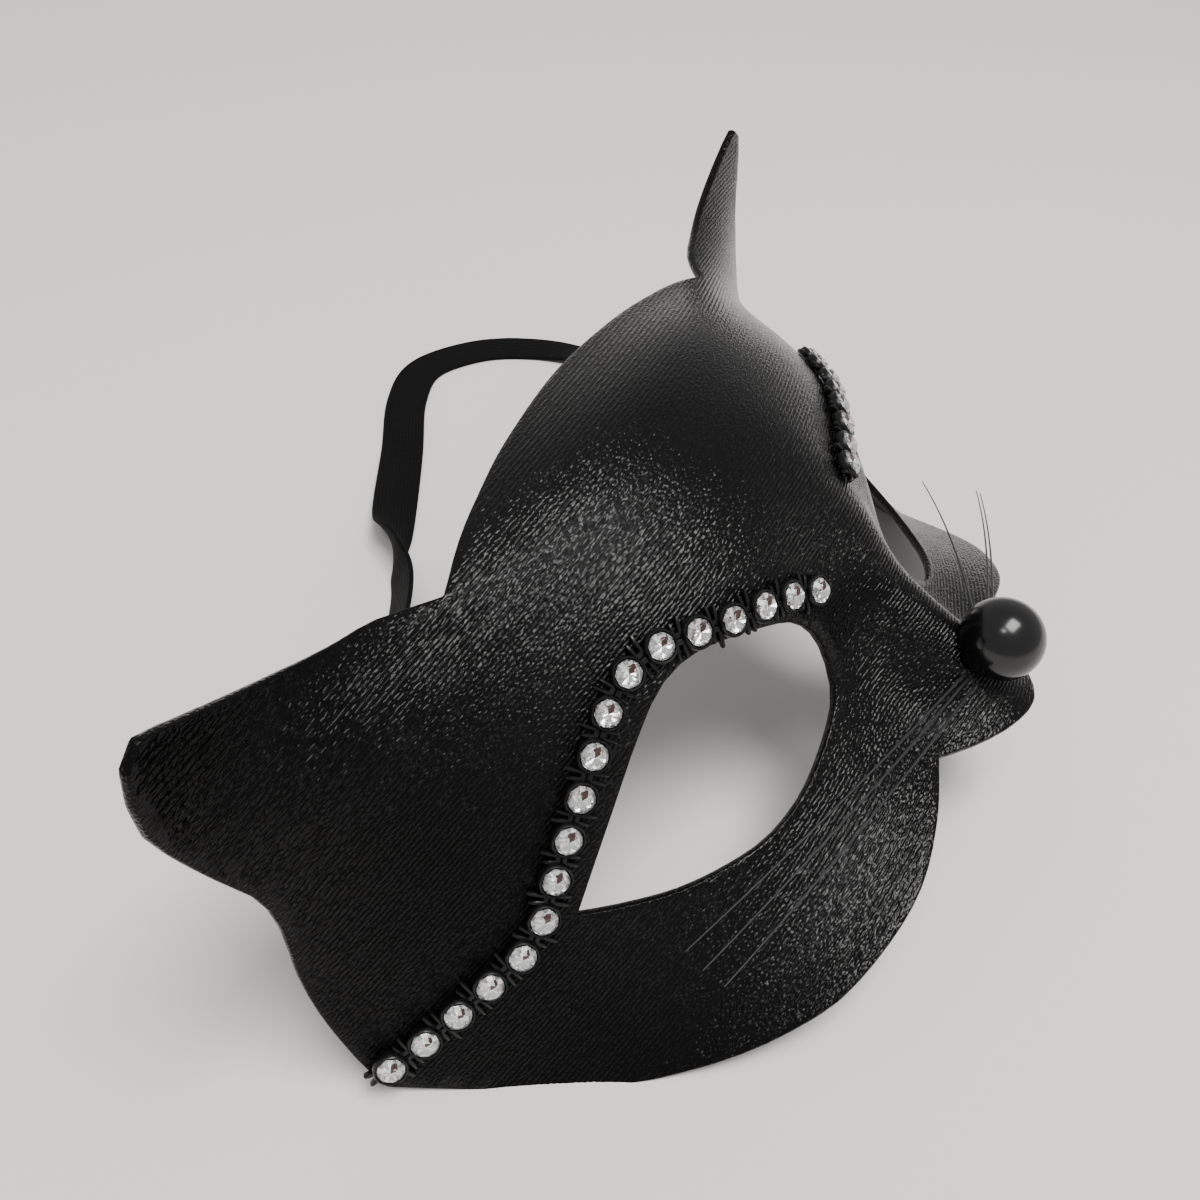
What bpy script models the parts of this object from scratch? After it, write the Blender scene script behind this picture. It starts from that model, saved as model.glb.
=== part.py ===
"""Black half-face cat mask with rhinestone brows, lying on its lower rim.

The mask is drawn in its own face frame, in millimetres: side is the distance from the midline, up runs from
the mouth to the ears, and out is the depth towards the viewer. lay_down() then pitches it back onto the
table, so in the finished part +Z is up, +Y runs from the muzzle to the ears and the strap, and +X is the
wearer's left.
"""

import math

import bmesh
import bpy
import numpy as np
from mathutils import Matrix, Vector
from mathutils.geometry import delaunay_2d_cdt

# Driving dimensions, in millimetres and degrees
HALF_WIDTH = 95.0
WALL = 1.6
GAP = 0.3
REST_PITCH = 33.0
REST_HEIGHT = 50.9
BACK_SHIFT = 10.0
CUTTER_WIDTH = 300.0
CUTTER_DEPTH = 20.0

# Mesh density: triangle edges inside the shell and at its rims, and curve points to each table span
GRID_STEP = 4.6
RIM_STEP = 3.2
CURVE_STEPS = 8

# The face without its nose: depth of the midline, and how far the side falls behind it at the half width
FACE_SECTIONS = [
    # up, middle, fall
    (-45.0, -0.6, 45.5),
    (-30.0, -8.4, 48.2),
    (-15.0, -7.8, 52.2),
    (0.0, -0.6, 58.6),
    (15.0, 3.8, 60.3),
    (30.0, 2.8, 60.0),
    (42.0, -2.6, 58.5),
    (54.0, -18.2, 51.0),
]

# The bridge and muzzle stand out of the face as one ridge
MUZZLE_UP = -28.0
MUZZLE_OUT = 10.3
MUZZLE_SPREAD_UP = 28.0
MUZZLE_SPREAD_DOWN = 13.0
MUZZLE_HALF_WIDTH = 9.3

# The ear turns forward out of the temple beyond a fold line
FOLD_POINT = (52.0, 43.0)
FOLD_DIRECTION = 58.4
FOLD_SOFTNESS = 6.0
EAR_LIFT = 1.09
EAR_CURL = 0.0146

# Half of the mask's outline, from the middle of the forehead round to the middle of the lip
OUTLINE = [
    # side, up, kind of bend
    (0.0, 53.9, "smooth"),
    (22.0, 52.4, "smooth"),
    (36.5, 49.9, "smooth"),
    (45.7, 47.6, "smooth"),
    (54.0, 44.4, "corner"),
    (58.0, 46.9, "smooth"),
    (63.3, 49.7, "smooth"),
    (70.2, 51.5, "smooth"),
    (83.4, 55.4, "smooth"),
    (95.4, 58.9, "smooth"),
    (99.8, 60.0, "smooth"),
    (102.4, 58.9, "smooth"),
    (103.6, 56.0, "smooth"),
    (103.6, 52.3, "smooth"),
    (99.3, 43.2, "smooth"),
    (96.2, 37.2, "smooth"),
    (95.4, 31.8, "smooth"),
    (96.6, 24.6, "smooth"),
    (97.0, 17.6, "smooth"),
    (97.0, 9.2, "smooth"),
    (96.7, 2.5, "corner"),
    (89.8, -10.1, "smooth"),
    (81.4, -23.9, "smooth"),
    (76.7, -29.5, "smooth"),
    (71.5, -34.3, "smooth"),
    (65.5, -38.1, "smooth"),
    (57.6, -41.0, "smooth"),
    (42.7, -41.8, "smooth"),
    (29.5, -39.3, "smooth"),
    (18.3, -35.8, "corner"),
    (12.7, -40.2, "smooth"),
    (7.0, -43.4, "smooth"),
    (0.0, -45.2, "smooth"),
]

# The eye holes, from the pointed outer corner over the top and back under; the left one is cut lower at its
# inner end than the right one
RIGHT_EYE = [
    # side, up
    (70.6, -1.2),
    (63.8, 3.2),
    (55.6, 8.2),
    (51.2, 10.5),
    (45.4, 12.4),
    (38.5, 11.0),
    (27.0, 3.8),
    (21.8, -0.6),
    (18.6, -7.0),
    (19.2, -13.0),
    (23.1, -16.7),
    (32.8, -19.4),
    (39.8, -20.0),
    (47.7, -18.6),
    (58.2, -13.0),
    (66.0, -6.2),
]
LEFT_EYE = [
    # side, up
    (70.6, -1.2),
    (63.8, 3.2),
    (55.6, 8.2),
    (51.2, 10.5),
    (45.4, 12.4),
    (38.5, 11.0),
    (27.0, 3.8),
    (21.8, -0.6),
    (18.4, -7.0),
    (17.4, -15.0),
    (18.8, -22.5),
    (23.0, -26.2),
    (30.0, -26.9),
    (36.7, -25.6),
    (44.0, -22.4),
    (52.0, -18.0),
    (59.5, -12.4),
    (66.2, -6.0),
]

# Rhinestone rows, glued by hand: the left one starts nearer the midline than the right one
STONES = 18
STONE_PITCH = 6.3
STONE_RADIUS = 2.1
STONE_TABLE_RADIUS = 1.15
STONE_GIRDLE = 0.3
STONE_CROWN = 0.95
CUP_RADIUS = 2.75
BAND_THICKNESS = 1.0
LINK_HALF_WIDTH = 0.8
STUB_HALF_WIDTH = 0.35
STUB_REACHES = (3.6, 2.9, 3.3)
STUB_TIP = 0.7
CUP_TURNS = (170, 130, 90, 50, 10)
ROW_STEP = 0.1
RIGHT_ROW = [
    # side, up
    (16.5, 0.6),
    (21.5, 4.1),
    (27.3, 7.5),
    (33.4, 10.8),
    (38.6, 14.1),
    (43.4, 17.0),
    (48.2, 17.8),
    (53.3, 16.3),
    (62.3, 11.0),
    (70.0, 5.6),
    (73.5, 2.9),
    (77.3, 1.7),
    (81.7, 2.3),
    (90.6, 3.8),
    (100.0, 6.6),
]
LEFT_ROW = [
    # side, up
    (8.2, 6.8),
    (14.1, 8.2),
    (20.5, 10.0),
    (26.6, 11.9),
    (32.8, 13.0),
    (38.6, 14.5),
    (43.4, 17.0),
    (48.2, 17.8),
    (53.3, 16.3),
    (62.3, 11.0),
    (70.0, 5.6),
    (73.5, 2.9),
    (77.3, 1.7),
    (81.7, 2.3),
    (90.6, 3.8),
    (100.0, 6.6),
]

# Nose ball, hollowed at the back to sit on the ridge of the muzzle
NOSE_RADIUS = 7.2
NOSE_UP = -31.9
NOSE_OUT = 5.3
NOSE_GAP = 0.6

# Elastic strap: a flat band from temple to temple, laid on the table behind the mask
STRAP_WIDTH = 10.5
STRAP_THICKNESS = 1.0
STRAP_STATIONS = 64
STRAP_ROUTE = [
    # x, y, height of the middle line, roll of the flat from level in degrees
    (-83.7, 32.6, 15.0, 118.0),
    (-85.0, 38.0, 13.5, 114.0),
    (-84.0, 45.0, 9.5, 100.0),
    (-76.0, 54.0, 5.6, 104.0),
    (-56.0, 64.0, 5.2, 112.0),
    (-27.0, 77.0, 5.0, 118.0),
    (-6.0, 86.5, 4.8, 118.0),
    (3.0, 93.5, 5.3, 95.0),
    (14.0, 101.0, 2.6, 30.0),
    (42.0, 115.5, 0.6, 0.0),
    (62.0, 126.0, 0.6, 0.0),
    (78.0, 129.5, 0.6, 0.0),
    (93.0, 121.5, 0.6, 0.0),
    (101.5, 109.0, 0.6, 0.0),
    (104.5, 95.0, 1.5, -12.0),
    (102.0, 79.0, 4.8, -62.0),
    (96.5, 63.0, 5.6, -86.0),
    (89.5, 51.0, 6.6, -82.0),
    (86.5, 43.0, 10.0, -74.0),
    (85.0, 38.0, 13.4, -66.0),
    (83.7, 32.6, 15.0, -62.0),
]

MM = 0.001


def clear_scene():
    for obj in list(bpy.data.objects):
        bpy.data.objects.remove(obj, do_unlink=True)


def material(name, colour, roughness, metallic=0.0, transmission=0.0):
    made = bpy.data.materials.new(name)
    made.use_nodes = True
    shader = made.node_tree.nodes["Principled BSDF"]
    shader.inputs["Base Color"].default_value = (*colour, 1.0)
    shader.inputs["Roughness"].default_value = roughness
    shader.inputs["Metallic"].default_value = metallic
    shader.inputs["Transmission Weight"].default_value = transmission
    return made


def add_object(name, bm, finish, smooth_angle=None):
    mesh = bpy.data.meshes.new(name)
    bmesh.ops.recalc_face_normals(bm, faces=bm.faces)
    bm.to_mesh(mesh)
    bm.free()
    mesh.materials.append(finish)
    if smooth_angle is not None:
        mesh.shade_smooth()
        mesh.set_sharp_from_angle(angle=math.radians(smooth_angle))
    obj = bpy.data.objects.new(name, mesh)
    bpy.context.scene.collection.objects.link(obj)
    return obj


def spline_through(points, steps):
    """Points on a Catmull-Rom curve through the given ones, steps to each span."""
    points = np.array(points, float)
    padded = np.vstack([2 * points[0] - points[1], points, 2 * points[-1] - points[-2]])
    curve = []
    for i in range(len(points) - 1):
        a, b, c, d = padded[i : i + 4]
        for t in np.arange(steps) / steps:
            near = 2 * b + (c - a) * t
            bend = (2 * a - 5 * b + 4 * c - d) * t**2
            far = (3 * b - a - 3 * c + d) * t**3
            curve.append((near + bend + far) / 2)
    curve.append(points[-1])
    return np.array(curve)


def even_steps(curve, step):
    """The curve's points again, at even distances close to step, both ends kept."""
    lengths = np.r_[0, np.cumsum(np.linalg.norm(np.diff(curve, axis=0), axis=1))]
    count = max(2, round(lengths[-1] / step)) + 1
    along = np.linspace(0, lengths[-1], count)
    return np.column_stack([np.interp(along, lengths, curve[:, k]) for k in range(curve.shape[1])])


def table_value(column, up):
    """A smooth reading of one FACE_SECTIONS column, straight on beyond the table's ends."""
    heights = np.array([row[0] for row in FACE_SECTIONS])
    values = np.array([row[column] for row in FACE_SECTIONS])
    slopes = np.gradient(values, heights)
    i = int(np.clip(np.searchsorted(heights, up) - 1, 0, len(heights) - 2))
    if up < heights[0]:
        return values[0] + slopes[0] * (up - heights[0])
    if up > heights[-1]:
        return values[-1] + slopes[-1] * (up - heights[-1])
    width = heights[i + 1] - heights[i]
    t = (up - heights[i]) / width
    start = values[i] * (1 + 2 * t) * (1 - t) ** 2 + slopes[i] * width * t * (1 - t) ** 2
    end = values[i + 1] * (3 - 2 * t) * t**2 + slopes[i + 1] * width * t**2 * (t - 1)
    return start + end


def depth(side, up):
    """How far out the front surface stands at this place on the face."""
    side = abs(side)
    face = table_value(1, up) - table_value(2, up) * (side / HALF_WIDTH) ** 2
    spread = MUZZLE_SPREAD_UP if up > MUZZLE_UP else MUZZLE_SPREAD_DOWN
    muzzle = MUZZLE_OUT * math.exp(-(((up - MUZZLE_UP) / spread) ** 2) - (side / MUZZLE_HALF_WIDTH) ** 2)
    turn = math.radians(FOLD_DIRECTION)
    past = math.cos(turn) * (side - FOLD_POINT[0]) + math.sin(turn) * (up - FOLD_POINT[1])
    past = FOLD_SOFTNESS * math.log1p(math.exp(min(past / FOLD_SOFTNESS, 60.0)))
    return face + muzzle + EAR_LIFT * past + EAR_CURL * past**2


def surface_point(side, up):
    return Vector((side, up, depth(side, up)))


def surface_normal(side, up):
    e = 0.2
    across = surface_point(side + e, up) - surface_point(side - e, up)
    along = surface_point(side, up + e) - surface_point(side, up - e)
    return across.cross(along).normalized()


def lay_down(point):
    """From the face frame, in millimetres, to the part's frame on the table, in metres."""
    pitch = math.radians(REST_PITCH)
    x, up, out = point
    y = up * math.cos(pitch) - out * math.sin(pitch) - BACK_SHIFT
    z = up * math.sin(pitch) + out * math.cos(pitch) + REST_HEIGHT
    return Vector((x, y, z)) * MM


def unroll(side):
    """Length along the face's curved cross-section from the midline to this side."""
    bend = 2 * FACE_SECTIONS[3][2] / HALF_WIDTH**2
    slope = bend * abs(side)
    length = (slope * math.sqrt(1 + slope**2) + math.asinh(slope)) / (2 * bend)
    return math.copysign(length, side)


def roll_back(length):
    """The side whose unrolled length this is."""
    low, high = 0.0, abs(length)
    for _ in range(40):
        middle = (low + high) / 2
        if unroll(middle) < abs(length):
            low = middle
        else:
            high = middle
    return math.copysign(low, length)


def half_outline():
    """The right-hand half of the outline as even points, corners kept sharp."""
    stretches = []
    stretch = []
    for side, up, kind in OUTLINE:
        stretch.append((side, up))
        if kind == "corner":
            stretches.append(stretch)
            stretch = [(side, up)]
    stretches.append(stretch)
    points = []
    for number, stretch in enumerate(stretches):
        stretch = np.array(stretch)
        if number == 0:
            mirrored = stretch[1:2] * [-1, 1]
            curve = spline_through(np.vstack([mirrored, stretch]), CURVE_STEPS)[CURVE_STEPS:]
        elif number == len(stretches) - 1:
            mirrored = stretch[-2:-1] * [-1, 1]
            curve = spline_through(np.vstack([stretch, mirrored]), CURVE_STEPS)[:-CURVE_STEPS]
        else:
            curve = spline_through(stretch, CURVE_STEPS)
        even = even_steps(curve, RIM_STEP)
        points.extend(even if number == 0 else even[1:])
    return np.array(points)


def eye_hole(table, mirror):
    """One eye hole as a closed loop that starts at its sharp outer corner."""
    loop = table + table[:1]
    return even_steps(spline_through(loop, CURVE_STEPS), RIM_STEP)[:-1] * [mirror, 1]


def inside(point, loop):
    """Whether the point is inside the closed loop."""
    x, y = point
    ahead = np.roll(loop, -1, axis=0)
    crosses = (loop[:, 1] > y) != (ahead[:, 1] > y)
    rise = np.where(crosses, ahead[:, 1] - loop[:, 1], 1.0)
    at = loop[:, 0] + (y - loop[:, 1]) / rise * (ahead[:, 0] - loop[:, 0])
    return bool(np.count_nonzero(crosses & (x < at)) % 2)


def far_from(point, loops, distance):
    return all(np.linalg.norm(loop - point, axis=1).min() > distance for loop in loops)


def shell_sheet():
    """The front surface as one open sheet with two eye holes, as a bmesh on the table."""
    half = half_outline()
    left = half[1:-1][::-1] * [-1, 1]
    outline = np.vstack([half, left])
    loops = [outline, eye_hole(RIGHT_EYE, -1), eye_hole(LEFT_EYE, 1)]
    flat = [np.array([(unroll(s), u) for s, u in loop]) for loop in loops]
    points = [tuple(p) for loop in flat for p in loop]
    edges = []
    start = 0
    for loop in flat:
        count = len(loop)
        edges += [(start + i, start + (i + 1) % count) for i in range(count)]
        start += count
    reach = flat[0].max(axis=0)
    low = flat[0].min(axis=0)
    row_step = GRID_STEP * math.sqrt(3) / 2
    columns = int(reach[0] / GRID_STEP) + 1
    rows = int((reach[1] - low[1]) / row_step) + 1
    for row in range(rows):
        for column in range(-columns, columns + 1):
            place = np.array([(column + 0.5 * (row % 2)) * GRID_STEP, low[1] + (row + 0.5) * row_step])
            if not inside(place, flat[0]) or inside(place, flat[1]) or inside(place, flat[2]):
                continue
            if far_from(place, flat, GRID_STEP / 2):
                points.append(tuple(place))
    flat_points = [Vector(p) for p in points]
    corners, _, faces, *_ = delaunay_2d_cdt(flat_points, edges, [], 0, 1e-5)
    bm = bmesh.new()
    placed = [bm.verts.new(lay_down(surface_point(roll_back(c.x), c.y))) for c in corners]
    for face in faces:
        middle = np.mean([tuple(corners[i]) for i in face], axis=0)
        if inside(middle, flat[0]) and not inside(middle, flat[1]) and not inside(middle, flat[2]):
            bm.faces.new([placed[i] for i in face])
    loose = [v for v in bm.verts if not v.link_faces]
    bmesh.ops.delete(bm, geom=loose, context="VERTS")
    return bm


def table_cutter(finish):
    """A block under the table's surface, which trims the rim flat where the mask stands."""
    bm = bmesh.new()
    size = Matrix.Diagonal((CUTTER_WIDTH * MM, CUTTER_WIDTH * MM, CUTTER_DEPTH * MM, 1.0))
    middle = Matrix.Translation((0, 0, -CUTTER_DEPTH / 2 * MM))
    bmesh.ops.create_cube(bm, size=1.0, matrix=middle @ size)
    cutter = add_object("table_cutter", bm, finish)
    cutter.hide_render = True
    cutter.display_type = "WIRE"
    return cutter


def mask_shell(finish):
    bm = shell_sheet()
    mesh = bpy.data.meshes.new("mask_shell")
    for face in bm.faces:
        face.normal_update()
    if sum(face.normal.z * face.calc_area() for face in bm.faces) < 0:
        bmesh.ops.reverse_faces(bm, faces=bm.faces)
    bm.to_mesh(mesh)
    bm.free()
    mesh.materials.append(finish)
    mesh.shade_smooth()
    shell = bpy.data.objects.new("mask_shell", mesh)
    bpy.context.scene.collection.objects.link(shell)
    wall = shell.modifiers.new("wall", "SOLIDIFY")
    wall.thickness = WALL * MM
    wall.offset = -1.0
    flat = shell.modifiers.new("flat where it stands", "BOOLEAN")
    flat.operation = "DIFFERENCE"
    flat.object = table_cutter(finish)
    return shell


def nose_ball(finish):
    bm = bmesh.new()
    bmesh.ops.create_uvsphere(bm, u_segments=24, v_segments=16, radius=NOSE_RADIUS)
    for vert in bm.verts:
        side, up, out = vert.co + Vector((0, NOSE_UP, NOSE_OUT))
        seat = depth(side, up) + NOSE_GAP
        vert.co = lay_down((side, up, max(out, seat)))
    return add_object("nose_ball", bm, finish, smooth_angle=40)


def row_stations(row, mirror):
    """Even small steps along a stone row: side, up and length so far."""
    curve = even_steps(spline_through(row, CURVE_STEPS), ROW_STEP)
    solid = np.array([surface_point(s, u) for s, u in curve])
    length = np.r_[0, np.cumsum(np.linalg.norm(np.diff(solid, axis=0), axis=1))]
    return curve * [mirror, 1], length


def row_frame(stations, at):
    """Centre, direction along the row, direction across it and outward normal at this length."""
    curve, length = stations
    centre = [np.interp(at, length, curve[:, k]) for k in (0, 1)]
    ahead = [np.interp(at + 1.0, length, curve[:, k]) for k in (0, 1)]
    behind = [np.interp(max(at - 1.0, 0.0), length, curve[:, k]) for k in (0, 1)]
    normal = surface_normal(*centre)
    along = (surface_point(*ahead) - surface_point(*behind)).normalized()
    across = normal.cross(along).normalized()
    return centre, across.cross(normal), across, normal


def band_profile():
    """Length and half width of the banding at each station, cups joined by links with cut stubs."""
    profile = []
    for number in range(STONES):
        middle = number * STONE_PITCH
        for turn in CUP_TURNS:
            angle = math.radians(turn)
            half = max(CUP_RADIUS * math.sin(angle), LINK_HALF_WIDTH)
            profile.append((middle + CUP_RADIUS * math.cos(angle), half))
        if number < STONES - 1:
            stub = middle + STONE_PITCH / 2
            reach = STUB_REACHES[number % len(STUB_REACHES)]
            profile.append((stub - STUB_HALF_WIDTH, LINK_HALF_WIDTH))
            profile.append((stub - STUB_TIP * STUB_HALF_WIDTH, reach))
            profile.append((stub + STUB_TIP * STUB_HALF_WIDTH, reach))
            profile.append((stub + STUB_HALF_WIDTH, LINK_HALF_WIDTH))
    return profile


def trim_band(name, row, mirror, finish):
    stations = row_stations(row, mirror)
    bm = bmesh.new()
    rings = []
    for at, half in band_profile():
        centre, along, across, _ = row_frame(stations, max(at, 0.0))
        start = Vector(centre) + along.xy * min(at, 0.0)
        ring = []
        for reach, height in ((-half, 0), (half, 0), (half, 1), (-half, 1)):
            place = start + across.xy * reach
            lift = GAP + height * BAND_THICKNESS
            point = surface_point(*place) + surface_normal(*place) * lift
            ring.append(bm.verts.new(lay_down(point)))
        rings.append(ring)
    for one, two in zip(rings, rings[1:]):
        for k in range(4):
            bm.faces.new((one[k], one[(k + 1) % 4], two[(k + 1) % 4], two[k]))
    bm.faces.new(rings[0])
    bm.faces.new(rings[-1][::-1])
    bmesh.ops.triangulate(bm, faces=bm.faces)
    return add_object(name, bm, finish)


def stone_mesh(name, finish):
    """A round cut stone on a flat back: girdle of 16, octagon table, star and crown facets."""
    bm = bmesh.new()
    levels = []
    for height in (0.0, STONE_GIRDLE):
        turns = [2 * math.pi * k / 16 for k in range(16)]
        circle = [(STONE_RADIUS * math.cos(a), STONE_RADIUS * math.sin(a), height) for a in turns]
        levels.append([bm.verts.new(Vector(c) * MM) for c in circle])
    back, girdle = levels
    top = STONE_GIRDLE + STONE_CROWN
    turns = [2 * math.pi * (k + 0.5) / 8 for k in range(8)]
    circle = [(STONE_TABLE_RADIUS * math.cos(a), STONE_TABLE_RADIUS * math.sin(a), top) for a in turns]
    table = [bm.verts.new(Vector(c) * MM) for c in circle]
    bm.faces.new(back[::-1])
    bm.faces.new(table)
    for k in range(16):
        bm.faces.new((back[k], back[(k + 1) % 16], girdle[(k + 1) % 16], girdle[k]))
    for k in range(8):
        corner = table[k]
        after = table[(k + 1) % 8]
        bm.faces.new((girdle[2 * k], girdle[2 * k + 1], corner))
        bm.faces.new((girdle[2 * k + 1], girdle[(2 * k + 2) % 16], corner))
        bm.faces.new((girdle[(2 * k + 2) % 16], after, corner))
    mesh = bpy.data.meshes.new(name)
    bmesh.ops.recalc_face_normals(bm, faces=bm.faces)
    bm.to_mesh(mesh)
    bm.free()
    mesh.materials.append(finish)
    return mesh


def stone_row(side_name, row, mirror, finish):
    mesh = stone_mesh("stone_" + side_name, finish)
    stations = row_stations(row, mirror)
    for number in range(STONES):
        centre, along, across, normal = row_frame(stations, number * STONE_PITCH)
        foot = surface_point(*centre) + normal * (2 * GAP + BAND_THICKNESS)
        origin = lay_down((0, 0, 0))
        axes = [(lay_down(axis) - origin).normalized() for axis in (along, across, normal)]
        stone = bpy.data.objects.new("stone_%s_%02d" % (side_name, number + 1), mesh)
        stone.matrix_world = Matrix.Translation(lay_down(foot)) @ Matrix(axes).transposed().to_4x4()
        bpy.context.scene.collection.objects.link(stone)


def strap(finish):
    route = spline_through(STRAP_ROUTE, CURVE_STEPS)
    length = np.linalg.norm(np.diff(route[:, :3], axis=0), axis=1).sum()
    route = even_steps(route, length / STRAP_STATIONS)
    bm = bmesh.new()
    rings = []
    for number, station in enumerate(route):
        place = Vector(station[:3])
        place.y -= BACK_SHIFT
        ahead = route[min(number + 1, len(route) - 1)][:3]
        behind = route[max(number - 1, 0)][:3]
        along = Vector(ahead - behind).normalized()
        level = Vector((0, 0, 1)).cross(along).normalized()
        roll = math.radians(station[3])
        turned = Matrix.Rotation(roll, 3, along)
        lowest = STRAP_WIDTH / 2 * abs(math.sin(roll)) + STRAP_THICKNESS / 2 * abs(math.cos(roll))
        place.z = max(place.z, lowest)
        wide = turned @ level * (STRAP_WIDTH / 2)
        thick = along.cross(wide).normalized() * (STRAP_THICKNESS / 2)
        corners = (-wide - thick, wide - thick, wide + thick, -wide + thick)
        rings.append([bm.verts.new((place + corner) * MM) for corner in corners])
    for one, two in zip(rings, rings[1:]):
        for k in range(4):
            bm.faces.new((one[k], one[(k + 1) % 4], two[(k + 1) % 4], two[k]))
    bm.faces.new(rings[0])
    bm.faces.new(rings[-1][::-1])
    return add_object("strap", bm, finish, smooth_angle=40)


def build():
    clear_scene()
    shell_black = material("shell_black", (0.012, 0.012, 0.013), 0.38)
    nose_black = material("nose_black", (0.008, 0.008, 0.009), 0.08)
    trim_black = material("trim_black", (0.01, 0.01, 0.012), 0.3)
    crystal = material("crystal", (0.9, 0.92, 0.95), 0.03, metallic=0.2, transmission=0.8)
    elastic = material("elastic_black", (0.01, 0.01, 0.011), 0.85)
    mask_shell(shell_black)
    nose_ball(nose_black)
    for side_name, row, mirror in (("right", RIGHT_ROW, -1), ("left", LEFT_ROW, 1)):
        trim_band("trim_" + side_name, row, mirror, trim_black)
        stone_row(side_name, row, mirror, crystal)
    strap(elastic)


build()
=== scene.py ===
"""Look of the black cat mask: ribbed satin shell, rhinestone trims, glossy nose, whiskers and elastic strap.

The same face frame as the part's source: side, up and out, in millimetres, laid down onto the table.
"""

import math

import bmesh
import bpy
import numpy as np
from mathutils import Matrix, Vector
from mathutils.geometry import delaunay_2d_cdt

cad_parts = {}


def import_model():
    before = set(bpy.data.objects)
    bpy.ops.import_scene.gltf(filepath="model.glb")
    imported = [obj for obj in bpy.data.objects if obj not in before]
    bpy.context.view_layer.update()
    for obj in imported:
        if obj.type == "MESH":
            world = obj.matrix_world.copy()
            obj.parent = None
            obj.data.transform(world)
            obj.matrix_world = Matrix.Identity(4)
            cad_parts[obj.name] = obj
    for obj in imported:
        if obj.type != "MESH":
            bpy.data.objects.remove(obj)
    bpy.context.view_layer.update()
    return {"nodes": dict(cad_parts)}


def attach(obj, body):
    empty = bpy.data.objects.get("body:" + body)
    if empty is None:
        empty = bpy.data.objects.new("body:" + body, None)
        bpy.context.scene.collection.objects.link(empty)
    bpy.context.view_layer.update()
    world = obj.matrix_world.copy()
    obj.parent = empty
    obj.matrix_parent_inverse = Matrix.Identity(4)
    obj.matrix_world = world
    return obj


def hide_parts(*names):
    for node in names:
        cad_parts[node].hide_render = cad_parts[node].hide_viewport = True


# Driving dimensions, in millimetres and degrees
HALF_WIDTH = 95.0
WALL = 1.6
GAP = 0.3
REST_PITCH = 33.0
REST_HEIGHT = 50.9
BACK_SHIFT = 10.0

# Mesh density: steps along the outlines, and curve points to each table span
RIM_STEP = 3.2
CURVE_STEPS = 8

# The face without its nose: depth of the midline, and how far the side falls behind it at the half width
FACE_SECTIONS = [
    # up, middle, fall
    (-45.0, -0.6, 45.5),
    (-30.0, -8.4, 48.2),
    (-15.0, -7.8, 52.2),
    (0.0, -0.6, 58.6),
    (15.0, 3.8, 60.3),
    (30.0, 2.8, 60.0),
    (42.0, -2.6, 58.5),
    (54.0, -18.2, 51.0),
]

# The bridge and muzzle stand out of the face as one ridge
MUZZLE_UP = -28.0
MUZZLE_OUT = 10.3
MUZZLE_SPREAD_UP = 28.0
MUZZLE_SPREAD_DOWN = 13.0
MUZZLE_HALF_WIDTH = 9.3

# The ear turns forward out of the temple beyond a fold line
FOLD_POINT = (52.0, 43.0)
FOLD_DIRECTION = 58.4
FOLD_SOFTNESS = 6.0
EAR_LIFT = 1.09
EAR_CURL = 0.0146

# Half of the mask's outline, from the middle of the forehead round to the middle of the lip
OUTLINE = [
    # side, up, kind of bend
    (0.0, 53.9, "smooth"),
    (22.0, 52.4, "smooth"),
    (36.5, 49.9, "smooth"),
    (45.7, 47.6, "smooth"),
    (54.0, 44.4, "corner"),
    (58.0, 46.9, "smooth"),
    (63.3, 49.7, "smooth"),
    (70.2, 51.5, "smooth"),
    (83.4, 55.4, "smooth"),
    (95.4, 58.9, "smooth"),
    (99.8, 60.0, "smooth"),
    (102.4, 58.9, "smooth"),
    (103.6, 56.0, "smooth"),
    (103.6, 52.3, "smooth"),
    (99.3, 43.2, "smooth"),
    (96.2, 37.2, "smooth"),
    (95.4, 31.8, "smooth"),
    (96.6, 24.6, "smooth"),
    (97.0, 17.6, "smooth"),
    (97.0, 9.2, "smooth"),
    (96.7, 2.5, "corner"),
    (89.8, -10.1, "smooth"),
    (81.4, -23.9, "smooth"),
    (76.7, -29.5, "smooth"),
    (71.5, -34.3, "smooth"),
    (65.5, -38.1, "smooth"),
    (57.6, -41.0, "smooth"),
    (42.7, -41.8, "smooth"),
    (29.5, -39.3, "smooth"),
    (18.3, -35.8, "corner"),
    (12.7, -40.2, "smooth"),
    (7.0, -43.4, "smooth"),
    (0.0, -45.2, "smooth"),
]

# The eye holes, from the pointed outer corner over the top and back under; the left one is cut lower at its
# inner end than the right one
EYE_TOP = [
    # side, up
    (70.6, -1.2),
    (63.8, 3.2),
    (55.6, 8.2),
    (51.2, 10.5),
    (45.4, 12.4),
    (38.5, 11.0),
    (27.0, 3.8),
    (21.8, -0.6),
]
RIGHT_EYE = EYE_TOP + [
    # side, up
    (18.6, -7.0),
    (19.2, -13.0),
    (23.1, -16.7),
    (32.8, -19.4),
    (39.8, -20.0),
    (47.7, -18.6),
    (58.2, -13.0),
    (66.0, -6.2),
]
LEFT_EYE = EYE_TOP + [
    # side, up
    (18.4, -7.0),
    (17.4, -15.0),
    (18.8, -22.5),
    (23.0, -26.2),
    (30.0, -26.9),
    (36.7, -25.6),
    (44.0, -22.4),
    (52.0, -18.0),
    (59.5, -12.4),
    (66.2, -6.0),
]

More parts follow.
